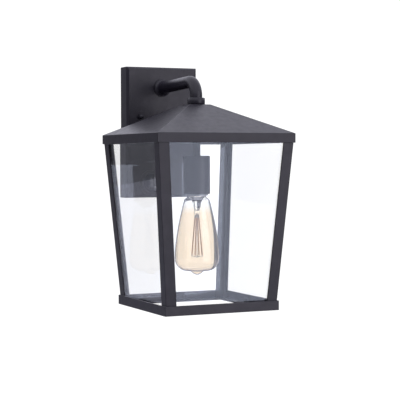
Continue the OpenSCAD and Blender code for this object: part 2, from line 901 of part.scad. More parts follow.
module socket_shell() {
    neck_r = shell_d / 4;
    ceiling_z = shell_z - shell_top_t;
    color(brass) on_axis() ring_body(concat(
        [plain_ring(shell_d / 2, shell_end_z), plain_ring(shell_d / 2, shell_z)],
        [plain_ring(neck_r, shell_z), plain_ring(neck_r, ceiling_z)],
        thread_rings(thread_mean_d / 2 + thread_gap, ceiling_z, shell_end_z)
    ));
}

// A tongue lies against the porcelain and carries the round contact
module socket_contact() {
    tongue_t = 0.8;
    tongue_end = 6.5;
    color(brass) translate([0, -reach, 0]) {
        translate([-contact_r, -2.5, shell_z - tongue_t])
            cube([contact_r + tongue_end, 5, tongue_t]);
        translate([0, 0, shell_z - shell_top_t - contact_h])
            cylinder(r = contact_r, h = contact_h);
    }
}

// A stepped ring that turns with the lamp inside the cup's mouth
module lamp_seal_ring() {
    ring_end_z = cup_mouth_z - seal_drop;
    color([0.5, 0.52, 0.55]) translate([0, -reach, 0]) rotate_extrude()
        polygon([
            [seal_bore_r, seal_z], [seal_r, seal_z], [seal_r, seal_z - seal_h],
            [seal_sleeve_r, seal_z - seal_h], [seal_sleeve_r, ring_end_z],
            [seal_bore_r, ring_end_z]
        ]);
}

// ---- Lamp ----

module lamp_cap() {
    thread_z = cap_z - cap_crown_h;
    inner_r = thread_mean_d / 2 - thread_crest - cap_wall;
    crown_bore_r = 7;
    color([0.75, 0.75, 0.77]) on_axis() ring_body(concat(
        [plain_ring(cap_skirt_r, cap_end_z), plain_ring(cap_skirt_r, cap_skirt_z)],
        thread_rings(thread_mean_d / 2, cap_skirt_z, thread_z),
        [plain_ring(cap_crown_r, thread_z), plain_ring(cap_crown_r, cap_z)],
        [plain_ring(crown_bore_r, cap_z), plain_ring(crown_bore_r, thread_z - cap_wall)],
        [plain_ring(inner_r, thread_z - cap_wall), plain_ring(inner_r, cap_skirt_z)],
        [plain_ring(cap_skirt_bore_r, cap_skirt_z), plain_ring(cap_skirt_bore_r, cap_end_z)]
    ));
}

module lamp_insulator() {
    color([0.08, 0.08, 0.1]) translate([0, -reach, 0]) rotate_extrude()
        polygon([
            [0, insulator_z], [contact_r + 1, insulator_z], [cap_crown_r - 1, cap_z + 0.6],
            [cap_crown_r - 1, cap_z], [0, cap_z]
        ]);
}

module lamp_contact() {
    color(brass) translate([0, -reach, insulator_z])
        cylinder(r = contact_r + 0.6, h = lamp_contact_h);
}

// The bulb's outline from the neck to the tip, moved inwards by inset
function bulb_outline(inset) =
    let (
        wide_r = bulb_d / 2,
        lean = wide_r - bulb_shoulder_d / 2,
        corner = bulb_corner_r - inset,
        corner_x = wide_r - bulb_corner_r,
        steps = 12
    )
    concat(
        [[neck_root_r - inset, cap_end_z + 4], [neck_root_r - inset, cap_end_z]],
        [[neck_d / 2 - inset, neck_z], [(neck_d + bulb_shoulder_d) / 4 - inset, neck_z - 1.3]],
        [for (i = [0 : steps])
            let (t = i / steps)
            [wide_r - inset - lean * pow(1 - t, bulb_swell), shoulder_z - t * bulb_body_h]],
        [for (i = [0 : steps])
            let (a = 82 * i / steps)
            [corner_x + corner * cos(a), bulb_corner_z - corner * sin(a)]],
        [for (i = [0 : 6])
            let (a = 15 * i)
            [(pip_r - inset) * cos(a), bulb_base_z + inset - (pip_h) * sin(a)]]
    );

module lamp_glass() {
    outside = bulb_outline(0);
    inside = bulb_outline(bulb_wall);
    color([0.98, 0.9, 0.7, 0.4]) translate([0, -reach, 0]) rotate_extrude()
        polygon(concat(
            outside,
            [for (i = [len(inside) - 1 : -1 : 0]) inside[i]]
        ));
}

// The flared mount that is sealed into the neck, with its flat press
module lamp_stem() {
    flare_r = neck_root_r - bulb_wall;
    color([0.95, 0.97, 0.97, 0.5]) on_axis() {
        rotate_extrude()
            polygon([
                [0, stem_flare_z], [flare_r, stem_flare_z], [flare_r, stem_flare_z - 1],
                [8.5, stem_flare_z - 4], [6, stem_flare_z - 8], [5, stem_flare_z - 14],
                [3.6, stem_press_z], [0, stem_press_z]
            ]);
        translate([-3.6, -1.4, stem_press_z - stem_press_h])
            cube([7.2, 2.8, stem_press_h]);
    }
}

// Runs a round bar between two points
module rod(a, b, radius) {
    v = b - a;
    translate(a)
        rotate([0, acos(v[2] / norm(v)), atan2(v[1], v[0])])
            cylinder(r = radius, h = norm(v), $fn = 16);
}

function stick_end(turn, radius, z) = [radius * cos(turn), radius * sin(turn), z];

stick_turns = [45 : 90 : 315];
filament_r = filament_top_r + filament_spread - 2;

module lamp_supports() {
    press_low = stem_press_z - stem_press_h;
    color(steel) on_axis() {
        rod([0, 0, filament_end_z - 1.6], [0, 0, press_low + 2], 0.5);
        for (turn = stick_turns) {
            rod(stick_end(turn, 1.1, press_low + 1), stick_end(turn, filament_top_r, filament_z),
                support_r);
            rod([0, 0, filament_end_z - 1.2], stick_end(turn, filament_r, filament_end_z),
                support_r);
        }
    }
}

module lamp_filaments() {
    color([0.95, 0.6, 0.2]) on_axis() for (turn = stick_turns)
        rod(stick_end(turn, filament_top_r, filament_z),
            stick_end(turn, filament_r, filament_end_z), filament_d / 2);
}

// ---- Wiring ----

// From a connector in the backplate, through the arm and down the centre tube
function feed_route(side, x_end, z_end) = concat(
    [
        [side * connector_x, connector_y, connector_z - 6],
        [side * connector_x, connector_y, connector_z + 6],
        [side * connector_x * 0.8, connector_y - 0.5, (connector_z + arm_root_z) / 2 - 6],
        [side * 6, connector_y - 1, arm_root_z - 16],
        [side * lead_x, connector_y + 2, arm_root_z - 5],
        [side * lead_x, plate_inner_y + 6.5, arm_root_z - 0.6],
        [side * lead_x, plate_face_y, arm_root_z]
    ],
    arm_route(side * lead_x),
    [
        [side * lead_x, -reach, arm_end_z],
        [side * lead_x, -reach, stem_end_z + 2],
        [side * lead_x, -reach, stem_end_z - 0.5],
        [x_end, -reach, recess_z + 1],
        [x_end, -reach, recess_z - 1],
        [x_end, -reach, z_end]
    ]
);

module line_lead() {
    color([0.12, 0.12, 0.12]) lead(feed_route(1, line_x, shell_z));
}

module neutral_lead() {
    color([0.92, 0.92, 0.9]) lead(feed_route(-1, neutral_x, shell_z));
}

// From the nipple's washer down to the grounding screw
module ground_lead() {
    y_low = -crossbar_t - lead_d / 2;
    y_high = plate_inner_y + tube_washer_t + lead_d / 2;
    color([0.2, 0.5, 0.25]) lead([
        [tube_nut_af / 2 + lead_d, y_high, arm_root_z - 2],
        [ground_x + 1, y_high, arm_root_z - 12],
        [ground_x + 4, plate_inner_y / 2, (arm_root_z + crossbar_z) / 2],
        [ground_x + 1, y_low - 1, crossbar_z + 12],
        [ground_x, y_low, crossbar_z + ground_head_d / 2 + 0.4]
    ]);
}

// Twist-on connectors with a blind bore for the lead
module wire_connectors() {
    color([0.82, 0.45, 0.15]) for (side = [-1, 1])
        translate([side * connector_x, connector_y, connector_z]) rotate_extrude()
            polygon([
                [lead_d / 2 + hole_fit, 0], [connector_d / 2, 0],
                [connector_d / 2, -connector_h * 0.4], [connector_d / 2 - 2, 1 - connector_h],
                [connector_d / 2 - 3, -connector_h], [0, -connector_h],
                [0, -6 - hole_fit], [lead_d / 2 + hole_fit, -6 - hole_fit]
            ]);
}

// ---- Light sensor ----

module sensor_bezel() {
    soft = 1;
    color(coating) outwards(sensor_x, plate_face_y, sensor_z) rotate_extrude()
        polygon([
            [sensor_body_d / 2 + plain_fit, 0], [sensor_d / 2, 0],
            [sensor_d / 2, sensor_bezel_t - soft], [sensor_d / 2 - soft, sensor_bezel_t],
            [sensor_lens_d / 2 + soft, sensor_bezel_t],
            [sensor_lens_d / 2 + plain_fit, sensor_bezel_t - soft],
            [sensor_lens_d / 2 + plain_fit, soft], [sensor_body_d / 2 + plain_fit, soft]
        ]);
}

module sensor_lens() {
    dome = 1.6;
    edge = sensor_lens_d / 2;
    dome_r = (edge * edge + dome * dome) / (2 * dome);
    color([0.35, 0.42, 0.5, 0.6]) outwards(sensor_x, plate_face_y - 1, sensor_z) intersection() {
        cylinder(r = edge, h = 1 + dome);
        translate([0, 0, 1 + dome - dome_r]) sphere(r = dome_r, $fn = 128);
    }
}

module sensor_body() {
    color([0.1, 0.1, 0.1]) outwards(sensor_x, plate_face_y + sensor_body_h, sensor_z)
        cylinder(d = sensor_body_d, h = sensor_body_h + 1);
}

module sensor_nut() {
    color([0.1, 0.1, 0.1]) outwards(sensor_x, plate_inner_y + sensor_nut_h, sensor_z)
        nut(sensor_body_d + 6, sensor_nut_h, sensor_body_d);
}

backplate();
wall_gasket();
crossbar();
crossbar_studs();
stud_lock_nuts();
cap_nuts();
ground_screw();
arm();
arm_nipple();
arm_lock_washer();
arm_lock_nut();
collar();
stem_tube();
roof_washer();
roof_lock_nut();
roof();
top_frame();
post_front_left();
post_front_right();
post_rear_left();
post_rear_right();
bottom_frame();
glass_front();
glass_rear();
glass_left();
glass_right();
glass_clips();
roof_screws();
socket_cup();
socket_cup_nut();
socket_strap();
socket_screws();
socket_body();
socket_shell();
socket_contact();
lamp_seal_ring();
lamp_cap();
lamp_insulator();
lamp_contact();
lamp_glass();
lamp_stem();
lamp_supports();
lamp_filaments();
line_lead();
neutral_lead();
ground_lead();
wire_connectors();
sensor_bezel();
sensor_lens();
sensor_body();
sensor_nut();
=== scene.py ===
"""Looks of an outdoor wall lantern: powder coated metal, clear panes and an amber lamp.

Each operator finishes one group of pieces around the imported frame, and the last one sets
the floor, the light and the camera. Sizes are in metres, in the frame's own axes: X to the
right when facing the wall, Y into the wall, Z up.
"""

import math

import bmesh
import bpy
from mathutils import Matrix, Vector


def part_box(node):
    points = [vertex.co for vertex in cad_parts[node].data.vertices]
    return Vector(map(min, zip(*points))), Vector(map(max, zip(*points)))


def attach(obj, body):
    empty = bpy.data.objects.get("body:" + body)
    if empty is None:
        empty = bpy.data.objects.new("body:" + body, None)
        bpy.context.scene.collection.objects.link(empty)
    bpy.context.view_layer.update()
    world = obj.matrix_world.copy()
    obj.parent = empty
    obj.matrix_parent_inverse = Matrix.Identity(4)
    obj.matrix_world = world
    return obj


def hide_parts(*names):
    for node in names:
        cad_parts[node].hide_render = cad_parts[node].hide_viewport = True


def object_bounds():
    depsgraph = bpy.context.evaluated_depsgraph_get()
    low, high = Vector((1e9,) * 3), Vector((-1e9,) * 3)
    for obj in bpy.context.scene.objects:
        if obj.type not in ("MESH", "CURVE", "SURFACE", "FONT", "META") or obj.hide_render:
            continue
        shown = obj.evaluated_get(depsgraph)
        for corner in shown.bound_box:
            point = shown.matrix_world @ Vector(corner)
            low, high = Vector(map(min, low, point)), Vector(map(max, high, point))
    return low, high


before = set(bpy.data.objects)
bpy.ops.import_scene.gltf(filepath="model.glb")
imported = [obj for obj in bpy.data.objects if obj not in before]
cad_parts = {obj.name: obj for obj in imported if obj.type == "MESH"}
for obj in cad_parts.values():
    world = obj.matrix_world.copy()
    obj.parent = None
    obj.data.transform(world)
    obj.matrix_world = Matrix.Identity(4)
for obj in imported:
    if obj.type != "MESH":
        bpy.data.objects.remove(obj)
cad_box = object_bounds()

bl_info = {
    "name": "Wall lantern finishes",
    "version": (1, 0, 0),
    "blender": (4, 5, 0),
    "location": "3D View > Sidebar > Lantern",
    "description": "Finishes the packed frame of an outdoor wall lantern",
    "category": "Object",
}

# The lantern's upright axis, from the round collar on the roof
AXIS_Y = sum(corner[1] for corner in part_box("collar")) / 2
AXIS = Vector((0.0, AXIS_Y, 0.0))

# Faces that meet at less than this many degrees shade as one
FOLDED, DRAWN, THREADED, SEAMLESS = 40.0, 50.0, 60.0, 180.0

# Strength of the white that is seen around the lantern
SEEN_WHITE = 1.12

# Share of a lamp's light that gets through one clear wall, besides its tint
LIT_SHARE = 0.93


# ---- Shared helpers ----


def wanted(value, message):
    """Stops the script with a message where a step didn't give what it should."""
    if not value:
        raise RuntimeError(message)
    return value


def new_mesh_piece(name, bm, material, body, replaced, smooth):
    """Makes an object from a bmesh whose place is already in its points."""
    wanted(bm.faces, f"{name} has no faces")
    mesh = bpy.data.meshes.new(name)
    bm.to_mesh(mesh)
    bm.free()
    mesh.shade_smooth()
    if smooth < SEAMLESS:
        mesh.set_sharp_from_angle(angle=math.radians(smooth))
    mesh.materials.clear()
    mesh.materials.append(material)
    piece = bpy.data.objects.new(name, mesh)
    bpy.context.scene.collection.objects.link(piece)
    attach(piece, body)
    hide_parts(*replaced)
    return piece


def keep_flats_flat(piece):
    """Makes broad faces keep their own direction, so only the rounded edges shade softly."""
    steady = piece.modifiers.new("steady faces", "WEIGHTED_NORMAL")
    steady.mode = "FACE_AREA"
    steady.weight = 80
    steady.keep_sharp = True


def merged_copy(node):
    """A bmesh of a node's shape with its points joined and its flat faces whole."""
    bm = bmesh.new()
    bm.from_mesh(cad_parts[node].data)
    bmesh.ops.remove_doubles(bm, verts=bm.verts, dist=1.5e-5)
    bmesh.ops.dissolve_limit(
        bm,
        angle_limit=math.radians(0.4),
        use_dissolve_boundaries=False,
        verts=bm.verts,
        edges=bm.edges,
        delimit=set(),
    )
    return bm


def clean_piece(node, name, material, smooth=FOLDED, body="root"):
    """A clean copy of a node, which stands for it."""
    new_mesh_piece(name, merged_copy(node), material, body, (node,), smooth)


def soften_edges(bm, radius, shortest, segments=2, sharper_than=30.0):
    """Rounds a shape's long sharp edges; short ones, such as a hole's rim, stay."""
    edges = [
        edge
        for edge in bm.edges
        if len(edge.link_faces) == 2
        and edge.calc_length() > shortest
        and edge.calc_face_angle(0.0) > math.radians(sharper_than)
    ]
    wanted(edges, "there is no long sharp edge to round")
    bmesh.ops.bevel(
        bm,
        geom=edges,
        offset=radius,
        offset_type="OFFSET",
        segments=segments,
        profile=0.5,
        affect="EDGES",
        clamp_overlap=False,
        material=-1,
    )
    bmesh.ops.remove_doubles(bm, verts=bm.verts, dist=2e-6)


def softened_piece(node, name, material, body, radius, shortest, segments=2):
    """A copy of a node with its long edges rounded, which stands for it."""
    bm = merged_copy(node)
    soften_edges(bm, radius, shortest, segments)
    keep_flats_flat(new_mesh_piece(name, bm, material, body, (node,), FOLDED))


def spin_outline(bm, outline, sides, centre):
    """Spins an outline of (radius, height) pairs about the upright line through centre."""
    points = [bm.verts.new((radius, 0.0, height)) for radius, height in outline]
    edges = [bm.edges.new((a, b)) for a, b in zip(points, points[1:])]
    bmesh.ops.spin(
        bm,
        geom=points + edges,
        cent=(0.0, 0.0, 0.0),
        axis=(0.0, 0.0, 1.0),
        angle=2 * math.pi,
        steps=sides,
        use_merge=True,
        use_duplicate=False,
    )
    bmesh.ops.remove_doubles(bm, verts=bm.verts, dist=1e-6)
    bmesh.ops.translate(bm, vec=centre, verts=bm.verts)
    bmesh.ops.recalc_face_normals(bm, faces=bm.faces)


def arc(centre, radius, first, last, steps):
    """Points of (radius, height) along an arc, angles in degrees from the level."""
    turns = [math.radians(first + (last - first) * i / steps) for i in range(steps + 1)]
    return [
        (centre[0] + radius * math.cos(turn), centre[1] + radius * math.sin(turn))
        for turn in turns
    ]


def add_bar(bm, start, end, radius, sides):
    """Adds a round bar between two points."""
    along = end - start
    turn = along.to_track_quat("Z", "Y").to_matrix().to_4x4()
    bmesh.ops.create_cone(
        bm,
        cap_ends=True,
        segments=sides,
        radius1=radius,
        radius2=radius,
        depth=along.length,
        matrix=Matrix.Translation((start + end) / 2) @ turn,
    )


def add_ball(bm, centre, radius):
    """Adds a ball."""
    place = Matrix.Translation(centre)
    bmesh.ops.create_uvsphere(bm, u_segments=16, v_segments=10, radius=radius, matrix=place)


# ---- Materials ----


class Finish:
    """One procedural material and the nodes that its patterns are made from."""

    def __init__(self, name):
        self.material = bpy.data.materials.new(name)
        self.material.use_nodes = True
        self.nodes = self.material.node_tree.nodes
        self.links = self.material.node_tree.links
        self.surface = self.nodes["Principled BSDF"]
        self.place = self.nodes.new("ShaderNodeTexCoord")
        self.bumps = None

    def set(self, **values):
        """Sets constants straight on the shader's own sockets."""
        for socket, value in values.items():
            self.surface.inputs[socket.replace("_", " ")].default_value = value
        return self

    def noise(self, scale, detail=3.0, roughness=0.55, stretch=(1.0, 1.0, 1.0)):
        """A noise pattern that sits on the object; scale is in features per metre."""
        mapping = self.nodes.new("ShaderNodeMapping")
        mapping.inputs["Scale"].default_value = stretch
        self.links.new(self.place.outputs["Object"], mapping.inputs["Vector"])
        pattern = self.nodes.new("ShaderNodeTexNoise")
        pattern.inputs["Scale"].default_value = scale
        pattern.inputs["Detail"].default_value = detail
        pattern.inputs["Roughness"].default_value = roughness
        self.links.new(mapping.outputs["Vector"], pattern.inputs["Vector"])
        return pattern.outputs["Fac"]

    def cells(self, scale):
        """A pattern of rounded cells that sits on the object."""
        pattern = self.nodes.new("ShaderNodeTexVoronoi")
        pattern.inputs["Scale"].default_value = scale
        self.links.new(self.place.outputs["Object"], pattern.inputs["Vector"])
        return pattern.outputs["Distance"]

    def spread(self, factor, low, high, from_low=0.3, from_high=0.7):
        """Maps a pattern to a range of numbers."""
        mapped = self.nodes.new("ShaderNodeMapRange")
        mapped.inputs["From Min"].default_value = from_low
        mapped.inputs["From Max"].default_value = from_high
        mapped.inputs["To Min"].default_value = low
        mapped.inputs["To Max"].default_value = high
        self.links.new(factor, mapped.inputs["Value"])
        return mapped.outputs["Result"]

    def tones(self, factor, *stops):
        """Maps a pattern to colours; each stop is (position, colour)."""
        ramp = self.nodes.new("ShaderNodeValToRGB")
        points = ramp.color_ramp.elements
        while len(points) < len(stops):
            points.new(0.5)
        for point, (position, colour) in zip(points, stops):
            point.position = position
            point.color = (*colour[:3], 1.0)
        self.links.new(factor, ramp.inputs["Fac"])
        return ramp.outputs["Color"]

    def colour(self, output):
        """Takes the base colour from a pattern."""
        self.links.new(output, self.surface.inputs["Base Color"])
        return self

    def gloss(self, output):
        """Takes the roughness from a pattern."""
        self.links.new(output, self.surface.inputs["Roughness"])
        return self

    def bump(self, factor, height, strength=1.0):
        """Raises the surface by a pattern; height is in metres."""
        node = self.nodes.new("ShaderNodeBump")
        node.inputs["Strength"].default_value = strength
        node.inputs["Distance"].default_value = height
        self.links.new(factor, node.inputs["Height"])
        if self.bumps:
            self.links.new(self.bumps, node.inputs["Normal"])
        self.bumps = node.outputs["Normal"]
        self.links.new(self.bumps, self.surface.inputs["Normal"])
        return self


def scaled(colour, share):
    """A darker or lighter tone of a colour."""
    return tuple(channel * share for channel in colour[:3])


def powder_coat(colour, grain):
    """Satin powder coat: fine orange peel, faint cloudiness and a soft gloss."""
    finish = Finish("satin powder coat")
    finish.set(Specular_IOR_Level=0.38)
    cloud = finish.noise(38.0, 3.0)
    dark, pale = scaled(colour, 0.82), scaled(colour, 1.25)
    finish.colour(finish.tones(cloud, (0.30, dark), (0.52, colour), (0.72, pale)))
    finish.gloss(finish.spread(finish.noise(120.0, 4.0), 0.29, 0.39))
    finish.bump(finish.noise(1.0 / grain, 2.0, 0.45), 0.00009, 0.45)
    finish.bump(finish.noise(260.0, 1.0), 0.00010, 0.12)
    return finish.material


def zinc_plate():
    """Zinc plated steel with a fine rolled grain."""
    finish = Finish("zinc plated steel")
    finish.set(Metallic=1.0)
    spangle = finish.noise(420.0, 4.0, 0.6)
    dull, plain, bright = (0.42, 0.43, 0.45), (0.62, 0.63, 0.65), (0.74, 0.73, 0.68)
    finish.colour(finish.tones(spangle, (0.3, dull), (0.55, plain), (0.75, bright)))
    finish.gloss(finish.spread(finish.noise(900.0, 3.0), 0.24, 0.42))
    finish.bump(finish.noise(1600.0, 2.0, 0.5, (1.0, 1.0, 0.15)), 0.00004, 0.35)
    return finish.material


def green_screw_coat():
    """Green dyed plating on the grounding screw."""
    finish = Finish("green dyed plating")
    finish.set(Metallic=0.7)
    finish.colour(
        finish.tones(finish.noise(900.0, 3.0), (0.3, (0.03, 0.16, 0.06)), (0.7, (0.06, 0.30, 0.11)))
    )
    finish.gloss(finish.spread(finish.noise(500.0), 0.28, 0.4))
    finish.bump(finish.noise(2200.0), 0.00003, 0.4)
    return finish.material


def closed_cell_foam():
    """Black foam with small closed cells."""
    finish = Finish("closed cell foam")
    finish.set(Specular_IOR_Level=0.25)
    cells = finish.cells(1400.0)
    finish.colour(
        finish.tones(cells, (0.1, (0.035, 0.035, 0.036)), (0.6, (0.018, 0.018, 0.019)))
    )
    finish.gloss(finish.spread(finish.noise(600.0), 0.8, 0.95))
    finish.bump(cells, 0.00025, 0.8)
    return finish.material


def made_once(name, make):
    """A material that several groups share, made when it is first asked for."""
    return bpy.data.materials.get(name) or make()


def lets_lamps_through(finish, tint):
    """Lets light from the lamps and the sky reach what is behind clear glass."""
    through = finish.nodes.new("ShaderNodeBsdfTransparent")
    through.inputs["Color"].default_value = (*scaled(tint, LIT_SHARE), 1.0)
    rays = finish.nodes.new("ShaderNodeLightPath")
    choice = finish.nodes.new("ShaderNodeMixShader")
    output = finish.nodes["Material Output"]
    finish.links.new(rays.outputs["Is Shadow Ray"], choice.inputs["Fac"])
    finish.links.new(finish.surface.outputs["BSDF"], choice.inputs[1])
    finish.links.new(through.outputs["BSDF"], choice.inputs[2])
    finish.links.new(choice.outputs["Shader"], output.inputs["Surface"])
    return finish.material


def clear_glass(name, tint, index, mirrored=(1.0, 1.0, 1.0)):
    """Clear glass; tint is what light keeps after one wall, mirrored what a reflection keeps."""
    finish = Finish(name)
    finish.set(Base_Color=(*tint, 1.0), Roughness=0.0, IOR=index, Transmission_Weight=1.0)
    finish.set(Specular_Tint=(*mirrored, 1.0))
    return lets_lamps_through(finish, tint)


def amber_glass(tint, amber_top_z, clear_z):
    """Amber glass that clears between two heights, towards the neck of the lamp."""
    finish = Finish("amber lamp glass")
    finish.set(Roughness=0.0, IOR=1.5, Transmission_Weight=1.0)
    parts = finish.nodes.new("ShaderNodeSeparateXYZ")
    finish.links.new(finish.place.outputs["Object"], parts.inputs["Vector"])
    rise = finish.spread(parts.outputs["Z"], 0.0, 1.0, amber_top_z, clear_z)
    finish.colour(finish.tones(rise, (0.0, tint), (0.85, (0.97, 0.97, 0.96))))
    return lets_lamps_through(finish, tint)


def porcelain_glaze():
    """Glazed white porcelain with faint waves under the glaze."""
    finish = Finish("glazed porcelain")
    finish.set(Coat_Weight=0.6, Coat_Roughness=0.06)
    finish.colour(
        finish.tones(finish.noise(90.0), (0.3, (0.80, 0.78, 0.73)), (0.7, (0.88, 0.87, 0.83)))
    )
    finish.gloss(finish.spread(finish.noise(200.0), 0.25, 0.4))
    finish.bump(finish.noise(160.0, 1.0), 0.0002, 0.2)
    return finish.material


def stamped_brass():
    """Drawn brass with fine draw lines and light tarnish."""
    finish = Finish("stamped brass")
    finish.set(Metallic=1.0)
    finish.colour(
        finish.tones(finish.noise(240.0, 4.0), (0.3, (0.52, 0.35, 0.13)), (0.6, (0.78, 0.58, 0.27)))
    )
    finish.gloss(finish.spread(finish.noise(700.0), 0.22, 0.38))
    finish.bump(finish.noise(900.0, 2.0, 0.5, (1.0, 1.0, 4.0)), 0.00005, 0.35)
    return finish.material


def moulded(name, low, high, shine=0.45, grain=1800.0, height=0.00006):
    """Moulded plastic or rubber with a fine grain between two close tones."""
    finish = Finish(name)
    finish.colour(finish.tones(finish.noise(150.0, 3.0), (0.3, low), (0.7, high)))
    finish.gloss(finish.spread(finish.noise(400.0), shine - 0.07, shine + 0.07))
    finish.bump(finish.noise(grain, 2.0), height, 0.5)
    return finish.material


def rolled_cap_metal():
    """The lamp cap's rolled, plated metal."""
    finish = Finish("rolled cap metal")
    finish.set(Metallic=1.0)
    finish.colour(
        finish.tones(finish.noise(300.0, 4.0), (0.3, (0.55, 0.55, 0.57)), (0.7, (0.80, 0.80, 0.81)))
    )
    finish.gloss(finish.spread(finish.noise(800.0), 0.2, 0.36))
    finish.bump(finish.noise(1000.0, 2.0, 0.5, (1.0, 1.0, 5.0)), 0.00003, 0.4)
    return finish.material


def phosphor_coat(colour):
    """The unlit light sticks' grainy phosphor coat."""
    finish = Finish("unlit phosphor coat")
    finish.set(Specular_IOR_Level=0.35, Subsurface_Weight=0.15)
    finish.set(Subsurface_Radius=(0.002, 0.0012, 0.0005))
    grains = finish.noise(1500.0, 3.0)
    finish.colour(
        finish.tones(grains, (0.3, scaled(colour, 0.82)), (0.7, scaled(colour, 1.12)))
    )
    finish.gloss(finish.spread(finish.noise(900.0), 0.45, 0.6))
    finish.bump(finish.noise(3000.0), 0.00006, 0.6)
    return finish.material


def smoked_window():
    """The light sensor's smoked, glossy window."""
    finish = Finish("smoked sensor window")
    finish.set(Coat_Weight=1.0, Coat_Roughness=0.03)
    smoke = finish.noise(60.0, 2.0)
    finish.colour(
        finish.tones(smoke, (0.3, (0.010, 0.014, 0.022)), (0.7, (0.022, 0.028, 0.042)))
    )
    finish.gloss(finish.spread(finish.noise(300.0), 0.12, 0.2))
    finish.bump(finish.noise(500.0, 1.0), 0.00003, 0.2)
    return finish.material


def paint_nodes(names, material):
    """Gives CAD nodes a finish."""
    for name in names:
        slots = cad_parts[name].material_slots
        wanted(len(slots), f"{name} has no material slot")
        for slot in slots:
            slot.material = material


# ---- Sizes and colours that a user would change ----


class LanternMetal(bpy.types.PropertyGroup):
    coat_colour: bpy.props.FloatVectorProperty(
        name="Coat colour", description="Colour of the powder coat", subtype="COLOR",
        size=3, min=0.0, max=1.0, default=(0.0120, 0.0105, 0.0165),
    )
    grain: bpy.props.FloatProperty(
        name="Coat grain", description="Size of the powder coat's orange peel",
        unit="LENGTH", min=0.0003, max=0.003, default=0.0007,
    )
    sheet_edge: bpy.props.FloatProperty(
        name="Sheet edge", description="Radius of the folded sheet edges",
        unit="LENGTH", min=0.0001, max=0.0007, default=0.0005,
    )
    cast_edge: bpy.props.FloatProperty(
        name="Cast edge", description="Radius of the cast backplate's edges",
        unit="LENGTH", min=0.0001, max=0.001, default=0.0007,
    )


class LanternGlass(bpy.types.PropertyGroup):
    pane_tint: bpy.props.FloatVectorProperty(
        name="Pane tint", description="What light keeps after one pane", subtype="COLOR",
        size=3, min=0.0, max=1.0, default=(0.985, 0.992, 1.0),
    )
    lamp_tint: bpy.props.FloatVectorProperty(
        name="Lamp tint", description="What light keeps after the lamp's glass", subtype="COLOR",
        size=3, min=0.0, max=1.0, default=(0.945, 0.86, 0.735),
    )
    stick_colour: bpy.props.FloatVectorProperty(
        name="Light stick colour", description="Colour of the unlit phosphor", subtype="COLOR",
        size=3, min=0.0, max=1.0, default=(0.66, 0.37, 0.17),
    )
    lamp_wall: bpy.props.FloatProperty(
        name="Lamp wall", description="Thickness of the lamp's glass",
        unit="LENGTH", min=0.0004, max=0.0015, default=0.0009,
    )


class LanternStage(bpy.types.PropertyGroup):
    floor_drop: bpy.props.FloatProperty(
        name="Floor drop", description="How far the floor lies below the lantern",
        unit="LENGTH", min=0.1, max=3.0, default=0.55,
    )
    sky_light: bpy.props.FloatProperty(
        name="Sky light", description="Brightness of the soft light from above",
        min=0.0, max=5.0, default=1.18,
    )
    level_light: bpy.props.FloatProperty(
        name="Level light", description="Brightness of the room from the lantern's height down",
        min=0.0, max=5.0, default=0.19,
    )
    key_power: bpy.props.FloatProperty(
        name="Key power", description="Power of the large soft light at the front right",
        unit="POWER", min=0.0, max=500.0, default=16.5,
    )
    lens: bpy.props.FloatProperty(
        name="Lens", description="Focal length of the camera in millimetres",
        min=20.0, max=300.0, default=113.24,
    )


# ---- Metal ----


def coat():
    """The powder coat, made once."""
    metal = bpy.context.scene.lantern_metal
    return made_once(
        "satin powder coat", lambda: powder_coat(tuple(metal.coat_colour), metal.grain)
    )


class LANTERN_OT_backplate(bpy.types.Operator):
    """Finish the cast backplate and its foam gasket"""

    bl_idname = "lantern.backplate"
    bl_label = "Backplate"

    def execute(self, context):
        radius = context.scene.lantern_metal.cast_edge
        softened_piece(
            "backplate", "cast_backplate", coat(), "root", radius, 0.004, 3
        )
        paint_nodes(["wall_gasket"], closed_cell_foam())
        return {"FINISHED"}


class LANTERN_OT_arm(bpy.types.Operator):
    """Finish the arm, the collar, the centre tube and the acorn nuts"""

    bl_idname = "lantern.arm"
    bl_label = "Arm and collar"

    def execute(self, context):
        for node, name in (
            ("arm", "bent_arm"), ("collar", "roof_collar"), ("stem_tube", "centre_tube"),
        ):
            clean_piece(node, name, coat())
        bm = merged_copy("cap_nuts")
        soften_edges(bm, 0.0003, 0.002)
        new_mesh_piece("acorn_nuts", bm, coat(), "root", ("cap_nuts",), FOLDED)
        return {"FINISHED"}


class LANTERN_OT_roof(bpy.types.Operator):
    """Finish the folded sheet roof with its skirt"""

    bl_idname = "lantern.roof"
    bl_label = "Roof"

    def execute(self, context):
        radius = context.scene.lantern_metal.sheet_edge
        bm = merged_copy("roof")
        soften_edges(bm, radius, 0.004, 3, 12.0)
        keep_flats_flat(
            new_mesh_piece("sheet_roof", bm, coat(), "root", ("roof",), FOLDED)
        )
        return {"FINISHED"}


class LANTERN_OT_cage(bpy.types.Operator):
    """Finish the corner posts and both frames"""

    bl_idname = "lantern.cage"
    bl_label = "Cage"

    def execute(self, context):
        radius = context.scene.lantern_metal.sheet_edge
        for node in (
            "top_frame", "bottom_frame", "post_front_left", "post_front_right",
            "post_rear_left", "post_rear_right",
        ):
            softened_piece(node, "sheet_" + node, coat(), "root", radius, 0.0012)
        return {"FINISHED"}


class LANTERN_OT_fixings(bpy.types.Operator):
    """Finish the plated crossbar, screws, nuts and strap, and the coated clips"""

    bl_idname = "lantern.fixings"
    bl_label = "Fixings"

    def execute(self, context):
        paint_nodes(
            [
                "crossbar", "crossbar_studs", "stud_lock_nuts", "arm_nipple",
                "arm_lock_washer", "arm_lock_nut", "roof_washer", "roof_lock_nut",
                "socket_cup_nut", "socket_strap", "socket_screws",
            ],
            made_once("zinc plated steel", zinc_plate),
        )
        paint_nodes(["ground_screw"], green_screw_coat())
        paint_nodes(["glass_clips", "roof_screws"], coat())
        return {"FINISHED"}


# ---- Glass ----


